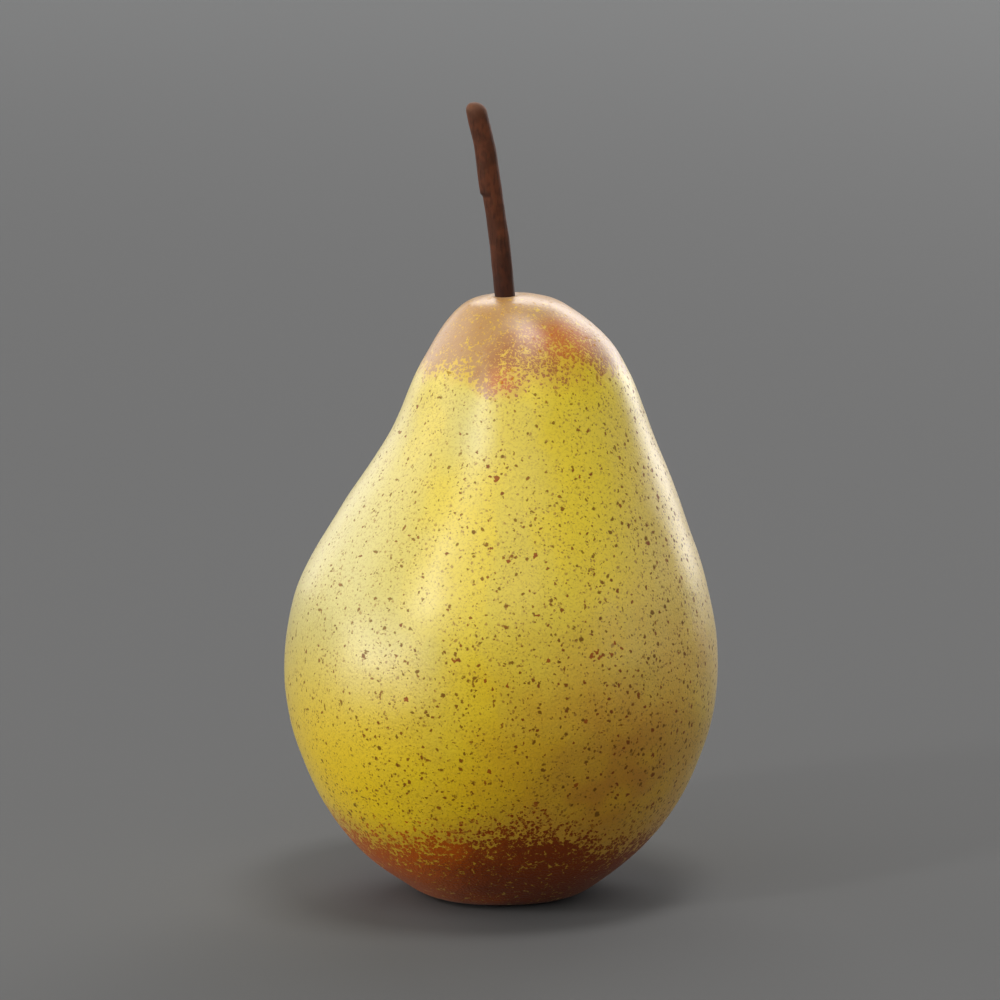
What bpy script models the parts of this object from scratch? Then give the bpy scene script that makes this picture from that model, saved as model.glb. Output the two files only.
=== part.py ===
"""A ripe yellow pear, standing on its blossom end.

Three pieces: the fruit, the woody stem that stands in the top of it, and the
dried calyx that sits in the basin underneath. Lengths are in metres and +Z is
up. The origin is on the surface that the pear stands on, under the middle of
its belly, and the front of the pear faces -Y.
"""

import math
import random

import bmesh
import bpy
from mathutils import Matrix, Vector

MM = 0.001

# Driving dimensions
FRUIT_HEIGHT = 105.3 * MM
BELLY_RADIUS = 37.5 * MM
STEM_RADIUS = 1.8 * MM
STEM_TOP = 138.1 * MM
CALYX_RADIUS = 2.9 * MM
BASIN_DEPTH = 0.060 * FRUIT_HEIGHT
GAP = 0.3 * MM

# The fruit's outline as (radius, height), shares of the belly's radius and of
# the fruit's height, from the crown down the outside to the flat that it
# stands on, and up again into the basin round the calyx.
OUTLINE = [
    (0.000, 1.0000),
    (0.115, 0.9965),
    (0.235, 0.9800),
    (0.380, 0.9315),
    (0.487, 0.8690),
    (0.604, 0.7680),
    (0.795, 0.6350),
    (0.945, 0.5130),
    (1.000, 0.3850),
    (0.970, 0.2760),
    (0.850, 0.1670),
    (0.680, 0.0820),
    (0.470, 0.0215),
    (0.377, 0.0050),
]
FLAT_OUTER, FLAT_INNER = 0.314, 0.240
BASIN = [
    (0.208, 0.12),
    (0.166, 0.50),
    (0.115, 0.86),
    (0.060, 1.00),
    (0.000, 1.00),
]
SAMPLES_PER_SPAN = 3
ROUND_STEPS = 64

# How the neck leans off the belly's axis: to the right, and a little forward.
NECK_LEAN = Vector((3.75 * MM, -1.4 * MM))
LEAN_STARTS, LEAN_ENDS = 0.47, 0.85

# Where the fruit isn't round: (share of the radius, lobes round it, angle of
# the first lobe in degrees, height where it is strongest, spread of heights).
LOBES = [
    (0.014, 5, 20.0, 0.05, 0.17),
    (0.010, 2, 45.0, 0.35, 0.30),
    (0.012, 3, 30.0, 0.82, 0.20),
    (0.006, 4, 12.0, 0.60, 0.18),
]

# The stem's middle line as (x, y, z), from its root in the fruit to its tip,
# and its thickness there as a share of STEM_RADIUS.
STEM_LINE = [
    (1.00, -2.90, 98.2, 0.97),
    (0.45, -2.95, 104.4, 0.97),
    (-0.35, -2.90, 112.4, 0.97),
    (-1.35, -2.60, 119.4, 0.94),
    (-2.15, -2.30, 124.6, 0.99),
    (-3.25, -1.85, 130.6, 1.04),
    (-4.35, -1.40, 135.3, 1.03),
    (-4.85, -1.15, 137.3, 1.00),
]
STEM_POINTS_PER_SPAN = 5
TIP_ROUNDING = [(0.35, 0.96), (0.75, 0.76), (0.98, 0.40)]
STEM_SIDE_RESOLUTION = 6
HEEL_HEIGHT, HEEL_FADE, HEEL_STEP = 123.6 * MM, 9.0 * MM, 0.7 * MM
HEEL_DEPTH = 0.36 * MM
SOCKET_EXTRA_DEPTH = 0.4 * MM

# The dried calyx: a cup with five sepals on its rim and a tuft of stamens.
PIT_DEPTH = 1.3 * MM
CUP_HEIGHT, CUP_WALL, CUP_FLOOR = 2.1 * MM, 0.8 * MM, 0.8 * MM
CUP_BEVEL = 0.25 * MM
CUP_TOP = BASIN_DEPTH + PIT_DEPTH - GAP
CUP_BOTTOM = BASIN_DEPTH + PIT_DEPTH - CUP_HEIGHT
SEPALS = 5
SEPAL_SINK, SEPAL_REACH, SEPAL_DROP = 0.45 * MM, 3.3 * MM, 3.9 * MM
SEPAL_THICKNESS, SEPAL_ARCH, SEPAL_CUPPING = 0.65 * MM, 0.9 * MM, 0.35 * MM
SEPAL_HALF_WIDTH, SEPAL_TIP_HALF_WIDTH = 1.45 * MM, 0.16 * MM
SEPAL_TURN_JITTER, SEPAL_LENGTH_JITTER = 7.0, 0.10
STAMENS = 9
STAMEN_RADIUS, STAMEN_LENGTH, STAMEN_SINK = 0.28 * MM, 2.3 * MM, 0.4 * MM
STAMEN_REACH = CALYX_RADIUS - CUP_WALL - 0.5 * MM
STAMEN_LEAN_MIN, STAMEN_LEAN_MAX = 4.0, 22.0
SEED = 11

# Merge distances, and how far a cutter stands clear of what it cuts.
WELD = 0.01 * MM
TURN_MERGE = 0.05 * MM
CUTTER_OVERRUN = 2 * MM
CALYX_STEPS = 30
SHARP_ANGLE = 40


def clear_scene():
    for obj in list(bpy.data.objects):
        bpy.data.objects.remove(obj, do_unlink=True)


def new_collection(name):
    made = bpy.data.collections.new(name)
    bpy.context.scene.collection.children.link(made)
    return made


def add_mesh(name, points, edges=(), faces=()):
    mesh = bpy.data.meshes.new(name)
    mesh.from_pydata([tuple(p) for p in points], edges, faces)
    obj = bpy.data.objects.new(name, mesh)
    bpy.context.scene.collection.objects.link(obj)
    return obj


def as_mesh(obj, name):
    """The evaluated shape of obj as a welded mesh object; obj is removed."""
    bpy.context.view_layer.update()
    graph = bpy.context.evaluated_depsgraph_get()
    mesh = bpy.data.meshes.new_from_object(obj.evaluated_get(graph))
    made = bpy.data.objects.new(name, mesh)
    made.matrix_world = obj.matrix_world.copy()
    bpy.context.scene.collection.objects.link(made)
    bpy.data.objects.remove(obj, do_unlink=True)
    shape = bmesh.new()
    shape.from_mesh(mesh)
    bmesh.ops.remove_doubles(shape, verts=shape.verts, dist=WELD)
    bmesh.ops.recalc_face_normals(shape, faces=shape.faces)
    shape.to_mesh(mesh)
    shape.free()
    mesh.name = name
    return made


def move_to(obj, collection):
    for holder in list(obj.users_collection):
        holder.objects.unlink(obj)
    collection.objects.link(obj)


def material(name, colour, roughness):
    made = bpy.data.materials.new(name)
    made.use_nodes = True
    shader = made.node_tree.nodes["Principled BSDF"]
    shader.inputs["Base Color"].default_value = (*colour, 1.0)
    shader.inputs["Roughness"].default_value = roughness
    shader.inputs["Metallic"].default_value = 0.0
    made.diffuse_color = (*colour, 1.0)
    return made


def finish(obj, collection, finish_material):
    move_to(obj, collection)
    obj.data.materials.clear()
    obj.data.materials.append(finish_material)
    obj.data.shade_smooth()
    obj.data.set_sharp_from_angle(angle=math.radians(SHARP_ANGLE))


def smooth_step(x):
    x = min(max(x, 0.0), 1.0)
    return x * x * (3 - 2 * x)


def curve_through(points, per_span):
    """Points on a smooth curve that passes through every given point."""
    ends = [2 * points[0] - points[1], *points, 2 * points[-1] - points[-2]]
    made = []
    for a, b, c, d in zip(ends, ends[1:], ends[2:], ends[3:]):
        for i in range(per_span):
            t = i / per_span
            made.append(
                0.5
                * (
                    2 * b
                    + (c - a) * t
                    + (2 * a - 5 * b + 4 * c - d) * t**2
                    + (3 * b - a - 3 * c + d) * t**3
                )
            )
    return [*made, points[-1]]


def outline_points():
    """(radius, height) down the outside, across the flat and into the basin."""
    outside = [Vector((r * BELLY_RADIUS, z * FRUIT_HEIGHT)) for r, z in OUTLINE]
    foot = Vector((FLAT_OUTER * BELLY_RADIUS, 0.0))
    inner = Vector((FLAT_INNER * BELLY_RADIUS, 0.0))
    hollow = [Vector((r * BELLY_RADIUS, z * BASIN_DEPTH)) for r, z in BASIN]
    return [
        *curve_through([*outside, foot], SAMPLES_PER_SPAN),
        *curve_through([inner, *hollow], SAMPLES_PER_SPAN),
    ]


def lean_at(height):
    share = height / FRUIT_HEIGHT
    return NECK_LEAN * smooth_step((share - LEAN_STARTS) / (LEAN_ENDS - LEAN_STARTS))


def lobe_factor(angle, height):
    """How much wider than round the fruit is at this angle and height."""
    share = height / FRUIT_HEIGHT
    total = 1.0
    for depth, count, first, middle, spread in LOBES:
        strength = math.exp(-(((share - middle) / spread) ** 2))
        total += depth * strength * math.cos(count * (angle - math.radians(first)))
    return total


def shaped(point):
    """A point of the round fruit, moved to where the real pear's surface is."""
    angle = math.atan2(point.y, point.x)
    factor = lobe_factor(angle, point.z)
    lean = lean_at(point.z)
    return Vector((point.x * factor + lean.x, point.y * factor + lean.y, point.z))


def turn_profile(profile, steps, name):
    """A closed solid turned about Z from (radius, height) points."""
    points = [(radius, 0.0, height) for radius, height in profile]
    edges = [(i, i + 1) for i in range(len(points) - 1)]
    turned = add_mesh("turned", points, edges)
    screw = turned.modifiers.new("turn", "SCREW")
    screw.axis = "Z"
    screw.steps = screw.render_steps = steps
    screw.use_merge_vertices = True
    screw.merge_threshold = TURN_MERGE
    return as_mesh(turned, name)


def make_fruit():
    fruit = turn_profile(outline_points(), ROUND_STEPS, "fruit")
    for vertex in fruit.data.vertices:
        vertex.co = shaped(vertex.co)
    return fruit


def stem_stations(root_extra):
    """(point, radius) along the stem, from root to tip, with a blunt round tip."""
    line = [Vector((x, y, z, share)) for x, y, z, share in STEM_LINE]
    stations = []
    for p in curve_through(line, STEM_POINTS_PER_SPAN):
        stations.append((Vector(p[:3]) * MM, p[3] * STEM_RADIUS))
    end, radius = stations[-1]
    onward = (end - stations[-2][0]).normalized()
    cap = STEM_TOP - end.z
    for along, share in TIP_ROUNDING:
        stations.append((end + onward * cap * along, radius * share))
    first, radius = stations[0]
    down = (first - stations[1][0]).normalized()
    stations[0] = (first + down * root_extra, radius)
    return stations


def heel_depth(height):
    """How far the bark of the upper stem stands proud at its broken edge."""
    above = height - HEEL_HEIGHT
    if above < 0:
        return HEEL_DEPTH * smooth_step(1 + above / HEEL_STEP)
    return HEEL_DEPTH * (1 - smooth_step(above / HEEL_FADE))


def make_stem(name, extra_radius=0.0, root_extra=0.0, heel=True):
    stations = stem_stations(root_extra)
    curve = bpy.data.curves.new(name, "CURVE")
    curve.dimensions = "3D"
    curve.bevel_depth = STEM_RADIUS
    curve.bevel_resolution = STEM_SIDE_RESOLUTION
    curve.use_fill_caps = True
    spline = curve.splines.new("POLY")
    spline.points.add(len(stations) - 1)
    for point, (place, radius) in zip(spline.points, stations):
        point.co = (*place, 1.0)
        point.radius = (radius + extra_radius) / STEM_RADIUS
    tube = bpy.data.objects.new(name + "_tube", curve)
    bpy.context.scene.collection.objects.link(tube)
    stem = as_mesh(tube, name)
    if heel:
        for vertex in stem.data.vertices:
            middle = min(stations, key=lambda s: abs(s[0].z - vertex.co.z))[0]
            side = (vertex.co - middle) / STEM_RADIUS
            facing = max(0.0, -side.x) ** 2
            vertex.co.x -= heel_depth(vertex.co.z) * facing
    return stem


def make_sepal(turn, length_factor):
    """One dried sepal: a pointed blade that arches down out of the cup's rim."""
    root = Vector((CALYX_RADIUS - CUP_WALL / 2, CUP_BOTTOM + SEPAL_SINK))
    tip = root + Vector((SEPAL_REACH, -SEPAL_DROP)) * length_factor
    bpy.ops.mesh.primitive_grid_add(x_subdivisions=6, y_subdivisions=4, size=1.0)
    sepal = bpy.context.active_object
    for vertex in sepal.data.vertices:
        t = vertex.co.x + 0.5
        across = 2 * vertex.co.y
        middle = root.lerp(tip, t)
        arch = SEPAL_ARCH * math.sin(math.pi * t)
        cupped = SEPAL_CUPPING * across**2 * (1 - t)
        width = SEPAL_HALF_WIDTH * (1 - t**1.6) + SEPAL_TIP_HALF_WIDTH
        vertex.co = (middle.x, across * width, middle.y + arch - cupped)
    thick = sepal.modifiers.new("thickness", "SOLIDIFY")
    thick.thickness = SEPAL_THICKNESS
    thick.offset = 0.0
    sepal.matrix_world = Matrix.Rotation(turn, 4, "Z")
    return as_mesh(sepal, "sepal")


def make_cup():
    """The calyx tube: a shallow cup, open downwards, rooted in the fruit."""
    inner = CALYX_RADIUS - CUP_WALL
    profile = [
        (0.0, CUP_TOP),
        (CALYX_RADIUS - CUP_BEVEL, CUP_TOP),
        (CALYX_RADIUS, CUP_TOP - CUP_BEVEL),
        (CALYX_RADIUS, CUP_BOTTOM + CUP_BEVEL),
        (CALYX_RADIUS - CUP_WALL / 2, CUP_BOTTOM),
        (inner, CUP_BOTTOM + CUP_BEVEL),
        (inner, CUP_TOP - CUP_FLOOR),
        (0.0, CUP_TOP - CUP_FLOOR),
    ]
    return turn_profile(profile, CALYX_STEPS, "cup")


def make_stamen(draw):
    """A dried stamen: a thin tapering thread that leans out of the cup."""
    angle = draw.uniform(0, 2 * math.pi)
    reach = STAMEN_REACH * math.sqrt(draw.random())
    length = STAMEN_LENGTH * draw.uniform(0.75, 1.1)
    bpy.ops.mesh.primitive_cone_add(
        vertices=6,
        radius1=STAMEN_RADIUS,
        radius2=STAMEN_RADIUS * 0.6,
        depth=length,
    )
    stamen = bpy.context.active_object
    stamen.data.transform(Matrix.Translation((0, 0, length / 2 - STAMEN_SINK)))
    lean = math.radians(draw.uniform(STAMEN_LEAN_MIN, STAMEN_LEAN_MAX))
    turned_down = Matrix.Rotation(math.pi - lean, 4, "Y")
    place = Matrix.Translation((reach, 0, CUP_TOP - CUP_FLOOR))
    stamen.matrix_world = Matrix.Rotation(angle, 4, "Z") @ place @ turned_down
    return as_mesh(stamen, "stamen")


def make_calyx():
    draw = random.Random(SEED)
    cup = make_cup()
    repeats = new_collection("calyx_repeats")
    for i in range(SEPALS):
        turn = math.radians(360 * i / SEPALS + draw.uniform(-1, 1) * SEPAL_TURN_JITTER)
        length_factor = 1 + draw.uniform(-1, 1) * SEPAL_LENGTH_JITTER
        move_to(make_sepal(turn, length_factor), repeats)
    for _ in range(STAMENS):
        move_to(make_stamen(draw), repeats)
    join = cup.modifiers.new("join", "BOOLEAN")
    join.operation = "UNION"
    join.operand_type = "COLLECTION"
    join.collection = repeats
    join.solver = "EXACT"
    calyx = as_mesh(cup, "calyx")
    for obj in list(repeats.objects):
        bpy.data.objects.remove(obj, do_unlink=True)
    bpy.data.collections.remove(repeats)
    return calyx


def cut_sockets(fruit, cutters):
    """Holes in the fruit for the stem's root and for the calyx's cup."""
    stem_cutter = make_stem("stem_cutter", GAP, SOCKET_EXTRA_DEPTH, heel=False)
    depth = PIT_DEPTH + CUTTER_OVERRUN
    bpy.ops.mesh.primitive_cylinder_add(
        vertices=CALYX_STEPS,
        radius=CALYX_RADIUS + GAP,
        depth=depth,
        location=(0, 0, BASIN_DEPTH + PIT_DEPTH - depth / 2),
    )
    pit_cutter = bpy.context.active_object
    pit_cutter.name = "pit_cutter"
    for cutter in (stem_cutter, pit_cutter):
        move_to(cutter, cutters)
        cutter.hide_render = True
        cutter.display_type = "WIRE"
        cut = fruit.modifiers.new("socket", "BOOLEAN")
        cut.operation = "DIFFERENCE"
        cut.object = cutter
        cut.solver = "EXACT"


def main():
    clear_scene()
    pear = new_collection("pear")
    cutters = new_collection("cutters")
    skin = material("pear_skin", (0.72, 0.58, 0.09), 0.42)
    bark = material("stem_bark", (0.075, 0.030, 0.017), 0.65)
    dried = material("dried_calyx", (0.050, 0.028, 0.016), 0.80)
    fruit = make_fruit()
    finish(fruit, pear, skin)
    finish(make_stem("stem"), pear, bark)
    finish(make_calyx(), pear, dried)
    cut_sockets(fruit, cutters)


main()
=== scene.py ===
# %% [markdown]
# # A ripe yellow pear
#
# This lesson dresses a finished construction model of a pear. The model has
# three solids: the fruit, the woody stem in its crown and the dried calyx in
# the basin underneath. They carry the sizes. Here each of them gets a finer
# surface and the finish of the real thing: waxy speckled skin, russet at both
# ends, bark, and a flower that withered months ago.
#
# The first cell loads the model. Its box is kept, so that the last cell can
# print its size beside the dressed pear's.

# %% Load the model
import math
import random

import bmesh
import bpy
import numpy as np
from mathutils import Matrix, Vector, noise


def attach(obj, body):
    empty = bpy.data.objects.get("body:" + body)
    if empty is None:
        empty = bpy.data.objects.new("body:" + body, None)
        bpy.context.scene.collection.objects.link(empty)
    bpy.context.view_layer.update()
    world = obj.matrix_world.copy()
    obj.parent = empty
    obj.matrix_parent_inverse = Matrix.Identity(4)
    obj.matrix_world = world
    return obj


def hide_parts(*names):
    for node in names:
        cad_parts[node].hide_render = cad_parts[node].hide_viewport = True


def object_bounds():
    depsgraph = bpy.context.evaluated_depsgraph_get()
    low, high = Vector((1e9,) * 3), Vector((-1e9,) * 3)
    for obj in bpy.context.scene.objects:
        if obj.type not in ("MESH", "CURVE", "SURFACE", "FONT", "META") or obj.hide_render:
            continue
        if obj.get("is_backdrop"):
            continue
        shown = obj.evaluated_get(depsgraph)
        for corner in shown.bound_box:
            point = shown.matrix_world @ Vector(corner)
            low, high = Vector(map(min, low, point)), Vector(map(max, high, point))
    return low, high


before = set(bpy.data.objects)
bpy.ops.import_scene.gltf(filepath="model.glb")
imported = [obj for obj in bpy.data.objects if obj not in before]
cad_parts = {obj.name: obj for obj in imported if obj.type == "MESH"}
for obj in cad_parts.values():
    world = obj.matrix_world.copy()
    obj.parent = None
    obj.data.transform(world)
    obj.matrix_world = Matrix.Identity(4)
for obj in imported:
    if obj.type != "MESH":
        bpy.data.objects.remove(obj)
built_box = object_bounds()
print("solids:", sorted(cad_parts))
print("built size in mm:", [round(1000 * (high - low), 1) for low, high in zip(*built_box)])

# %% [markdown]
# ## The outline of the fruit
#
# A pear is a turned shape before anything else, so one outline gives nearly
# all of it. The outline could be a Bezier curve drawn by hand in the viewport.
# Here it is a short list of points and a curve that passes through each of
# them, because numbers can be compared with the solid that they must match.
# They are shares of the belly's radius and of the fruit's height, from the
# crown down the outside, across the flat ring that it stands on, and up again
# into the basin.

# %% Points of the outline
MM = 0.001
FRUIT_HEIGHT = 105.3 * MM
BELLY_RADIUS = 37.5 * MM
BASIN_DEPTH = 0.060 * FRUIT_HEIGHT

OUTLINE = [
    (0.000, 1.0000),
    (0.115, 0.9965),
    (0.235, 0.9800),
    (0.380, 0.9315),
    (0.487, 0.8690),
    (0.604, 0.7680),
    (0.795, 0.6350),
    (0.945, 0.5130),
    (1.000, 0.3850),
    (0.970, 0.2760),
    (0.850, 0.1670),
    (0.680, 0.0820),
    (0.470, 0.0215),
    (0.377, 0.0050),
]
FLAT_OUTER, FLAT_INNER = 0.314, 0.240
BASIN = [
    (0.208, 0.12),
    (0.166, 0.50),
    (0.115, 0.86),
    (0.060, 1.00),
    (0.000, 1.00),
]
CURVE_STEPS = 24


def curve_through(points):
    """Points on a smooth curve that passes through every given point."""
    points = [np.array(point, float) for point in points]
    ends = [2 * points[0] - points[1], *points, 2 * points[-1] - points[-2]]
    made = []
    for a, b, c, d in zip(ends, ends[1:], ends[2:], ends[3:]):
        for t in np.arange(CURVE_STEPS) / CURVE_STEPS:
            bend = (2 * a - 5 * b + 4 * c - d) * t**2 + (3 * b - a - 3 * c + d) * t**3
            made.append(0.5 * (2 * b + (c - a) * t + bend))
    return np.array([*made, points[-1]])


def evenly_spaced(line, count):
    """The same line, with count points at equal steps along it."""
    steps = np.linalg.norm(np.diff(line, axis=0), axis=1)
    along = np.concatenate([[0], np.cumsum(steps)])
    wanted = np.linspace(0, along[-1], count)
    return np.column_stack([np.interp(wanted, along, line[:, k]) for k in range(line.shape[1])])


outside = [(r * BELLY_RADIUS, z * FRUIT_HEIGHT) for r, z in OUTLINE]
foot = (FLAT_OUTER * BELLY_RADIUS, 0.0)
inner = (FLAT_INNER * BELLY_RADIUS, 0.0)
hollow = [(r * BELLY_RADIUS, z * BASIN_DEPTH) for r, z in BASIN]
outer_curve = curve_through([*outside, foot])
basin_curve = curve_through([inner, *hollow])


def length_of(line):
    return np.linalg.norm(np.diff(line, axis=0), axis=1).sum()


ROWS = 330
outline = evenly_spaced(np.concatenate([outer_curve, basin_curve]), ROWS)
outer_share = length_of(outer_curve) / length_of(outline)
print(f"outline: {length_of(outline) / MM:.0f} mm long, {ROWS} rows")

# %% [markdown]
# ## Where the pear isn't round
#
# The neck leans to one side and a little forward, the crown settles back over
# the core, and slow waves run round the fruit, as on every pear. All three are
# formulas on the height and the angle, so they can be tried out with one
# number at a time. Sculpting would give such forms too, but not the same ones
# twice.

# %% Lean and lobes
NECK_LEAN = (3.75 * MM, -1.4 * MM)
LEAN_STARTS, LEAN_ENDS = 0.47, 0.85
CROWN_SETTLE, SETTLE_STARTS, SETTLE_ENDS = -1.9 * MM, 0.90, 1.01
LOBES = [
    (0.014, 5, 20.0, 0.05, 0.17),
    (0.010, 2, 45.0, 0.35, 0.30),
    (0.012, 3, 30.0, 0.82, 0.20),
    (0.006, 4, 12.0, 0.60, 0.18),
]


def soft_step(x):
    x = np.clip(x, 0, 1)
    return x * x * (3 - 2 * x)


def lean_and_swell(points):
    """Round points, moved to where the real pear's surface is."""
    share = points[:, 2] / FRUIT_HEIGHT
    angle = np.arctan2(points[:, 1], points[:, 0])
    swell = np.ones(len(points))
    for depth, count, first, middle, spread in LOBES:
        strength = np.exp(-(((share - middle) / spread) ** 2))
        swell += depth * strength * np.cos(count * (angle - math.radians(first)))
    lean = soft_step((share - LEAN_STARTS) / (LEAN_ENDS - LEAN_STARTS))
    settle = soft_step((share - SETTLE_STARTS) / (SETTLE_ENDS - SETTLE_STARTS))
    x = points[:, 0] * swell + lean * NECK_LEAN[0] + settle * CROWN_SETTLE
    y = points[:, 1] * swell + lean * NECK_LEAN[1]
    return np.column_stack([x, y, points[:, 2]])


# %% [markdown]
# ## The stem's middle line
#
# The stem's line comes before the fruit's surface, because the flesh dips and
# bulges round the place where the stem goes in.

# %% Line of the stem
STEM_RADIUS = 1.8 * MM
STEM_TOP = 138.1 * MM
ENTRY_HEIGHT = 0.99 * FRUIT_HEIGHT
STEM_LINE = [
    (1.12, -2.90, 98.2, 0.98),
    (0.62, -2.95, 104.4, 0.98),
    (-0.12, -2.90, 112.4, 0.99),
    (-1.08, -2.60, 119.4, 0.95),
    (-1.84, -2.30, 124.6, 0.98),
    (-2.88, -1.85, 130.6, 1.02),
    (-3.98, -1.40, 135.3, 1.01),
    (-4.45, -1.15, 137.3, 0.98),
]
stem_line = curve_through(STEM_LINE) * [MM, MM, MM, STEM_RADIUS]
onward = stem_line[-1] - stem_line[-2]
stem_line = np.vstack([stem_line, stem_line[-1] + onward * (STEM_TOP - stem_line[-1][2]) / onward[2]])
stem_entry = stem_line[np.argmin(np.abs(stem_line[:, 2] - ENTRY_HEIGHT))]
print("the stem enters the crown at", [round(c / MM, 1) for c in stem_entry[:3]])

# %% [markdown]
# ## The fruit's surface
#
# The surface is a grid: one ring of points for each row of the outline, and
# the rings shrink to nothing at the two poles. Gentle unevenness, some tenths
# of a millimetre deep, is real geometry, so that the highlights bend as they do
# on fruit that grew. Three things are added one by one: the dip round the stem,
# the lip of flesh beside it, and the soft ribs inside the basin.

# %% Shape the fruit
COLUMNS = 256
DIP_DEPTH, DIP_WIDTH = 0.22 * MM, 3.4 * MM
LIP_HEIGHT, LIP_RADIUS, LIP_WIDTH = 0.12 * MM, 2.7 * MM, 0.8 * MM
RIBS, RIB_DEPTH = 10, 0.22 * MM
WAVES = [(17 * MM, 0.26 * MM), (7 * MM, 0.085 * MM), (3.2 * MM, 0.022 * MM)]
FLAT_CLEARANCE, FLAT_FADE = 0.3 * MM, 4 * MM
CROWN_STARTS = 0.9 * FRUIT_HEIGHT


def turned(profile):
    """The profile carried round Z: one ring of COLUMNS points for each row."""
    angles = math.pi / 2 + 2 * math.pi * np.arange(COLUMNS) / COLUMNS
    r, z = profile[:, :1], profile[:, 1:]
    x, y = r * np.cos(angles), r * np.sin(angles)
    return np.stack([x, y, z + 0 * x], axis=-1).reshape(-1, 3)


def outward(profile):
    """Unit normals of the profile, pointing away from the flesh."""
    along = np.gradient(profile, axis=0)
    normal = np.column_stack([-along[:, 1], along[:, 0]])
    return normal / np.linalg.norm(normal, axis=1)[:, None]


points = lean_and_swell(turned(outline))
facing = turned(outward(outline))

uneven = np.zeros(len(points))
for wave, height in WAVES:
    uneven += [height * noise.noise(Vector(p) / wave) for p in points]
clear_of_flat = soft_step((points[:, 2] - FLAT_CLEARANCE) / FLAT_FADE)
points += facing * (uneven * clear_of_flat)[:, None]
print(f"unevenness: {uneven.min() / MM:.2f} to {uneven.max() / MM:.2f} mm")

from_stem = np.linalg.norm(points[:, :2] - stem_entry[:2], axis=1)
on_crown = points[:, 2] > CROWN_STARTS
dip = DIP_DEPTH * np.exp(-((from_stem / DIP_WIDTH) ** 2))
lip = LIP_HEIGHT * np.exp(-(((from_stem - LIP_RADIUS) / LIP_WIDTH) ** 2))
points[:, 2] += on_crown * (lip - dip)

row_share = np.repeat(np.linspace(0, 1, ROWS), COLUMNS)
into_basin = np.clip((row_share - outer_share) / (1 - outer_share), 0, 1)
around = np.tile(2 * math.pi * np.arange(COLUMNS) / COLUMNS, ROWS)
ribs = RIB_DEPTH * np.sin(math.pi * into_basin) ** 2 * np.cos(RIBS * around)
points += facing * ribs[:, None]

# %% [markdown]
# ## A flat pattern for the skin
#
# An exported model carries its colours in a picture, and the picture needs a
# flat pattern of the skin. Blender's Smart UV Project would cut the fruit in
# arbitrary patches. A pear has natural ones: a band round the sides, like a
# label, and a round cap for each end, where a band would pinch.

# %% Lay the skin out flat
UV_EDGE = 0.004
BAND_LOW, CAP_RADIUS = 0.405, 0.195
CROWN_CENTRE, BASE_CENTRE = (0.8, 0.2), (0.2, 0.2)
CROWN_ROW = int(0.105 * ROWS)
BASE_ROW = int((outer_share - 0.085) * ROWS)


def flat_place(rows, columns, island):
    """Where points of the grid lie in the pattern, on the band or on one cap."""
    if island == "band":
        u = UV_EDGE + (1 - 2 * UV_EDGE) * columns / COLUMNS
        down = (rows - CROWN_ROW) / (BASE_ROW - CROWN_ROW)
        return u, (1 - UV_EDGE) - down * (1 - UV_EDGE - BAND_LOW)
    turn = math.pi / 2 + 2 * math.pi * columns / COLUMNS
    if island == "crown":
        reach = CAP_RADIUS * rows / CROWN_ROW
        return CROWN_CENTRE[0] + reach * np.cos(turn), CROWN_CENTRE[1] + reach * np.sin(turn)
    reach = CAP_RADIUS * (ROWS - 1 - rows) / (ROWS - 1 - BASE_ROW)
    return BASE_CENTRE[0] + reach * np.cos(turn), BASE_CENTRE[1] - reach * np.sin(turn)


print(f"flat pattern: crown to row {CROWN_ROW}, band to row {BASE_ROW}, base to row {ROWS - 1}")

# %% [markdown]
# ## From a mesh to a piece
#
# Every piece ends in the same way: points that lie on each other are welded,
# the surface is shaded smooth, and the object is linked into the scene. The
# fruit needs the weld most, because a whole ring of points meets at each pole.
# At the crown it isn't complete: the unevenness spreads that ring over four
# thousandths of a millimetre, so twelve points and a hole of that size stay. A
# wider weld would close it. A Weld modifier could do the work too, but then the
# count of points printed here would be the unwelded one.

# %% Make the pieces
WELD = 0.001 * MM


def add_object(name, data):
    """An object with this mesh, lamp or camera, linked into the scene."""
    made = bpy.data.objects.new(name, data)
    bpy.context.scene.collection.objects.link(made)
    return made


def piece_from(shape, mesh):
    """The shape, welded and shaded smooth, as an object named like its mesh."""
    bmesh.ops.remove_doubles(shape, verts=shape.verts, dist=WELD)
    shape.to_mesh(mesh)
    shape.free()
    mesh.shade_smooth()
    return add_object(mesh.name, mesh)


def build_fruit():
    row, column = np.meshgrid(np.arange(ROWS - 1), np.arange(COLUMNS), indexing="ij")
    corners = [(row, column), (row + 1, column), (row + 1, column + 1), (row, column + 1)]
    faces = np.stack([r * COLUMNS + c % COLUMNS for r, c in corners], axis=-1)
    mesh = bpy.data.meshes.new("pear_body")
    mesh.from_pydata(points.tolist(), [], faces.reshape(-1, 4).tolist())
    places = np.zeros((ROWS - 1, COLUMNS, 4, 2))
    islands = {
        "crown": slice(0, CROWN_ROW),
        "band": slice(CROWN_ROW, BASE_ROW),
        "base": slice(BASE_ROW, ROWS - 1),
    }
    for k, (r, c) in enumerate(corners):
        for island, part in islands.items():
            u, v = flat_place(r[part], c[part], island)
            places[part, :, k, 0], places[part, :, k, 1] = u, v
    layer = mesh.uv_layers.new(name="OFBake")
    layer.data.foreach_set("uv", places.ravel())
    shape = bmesh.new()
    shape.from_mesh(mesh)
    return piece_from(shape, mesh)


fruit = build_fruit()
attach(fruit, "root")
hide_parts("fruit")
print("fruit:", len(fruit.data.vertices), "points,", len(fruit.data.polygons), "faces")

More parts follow.
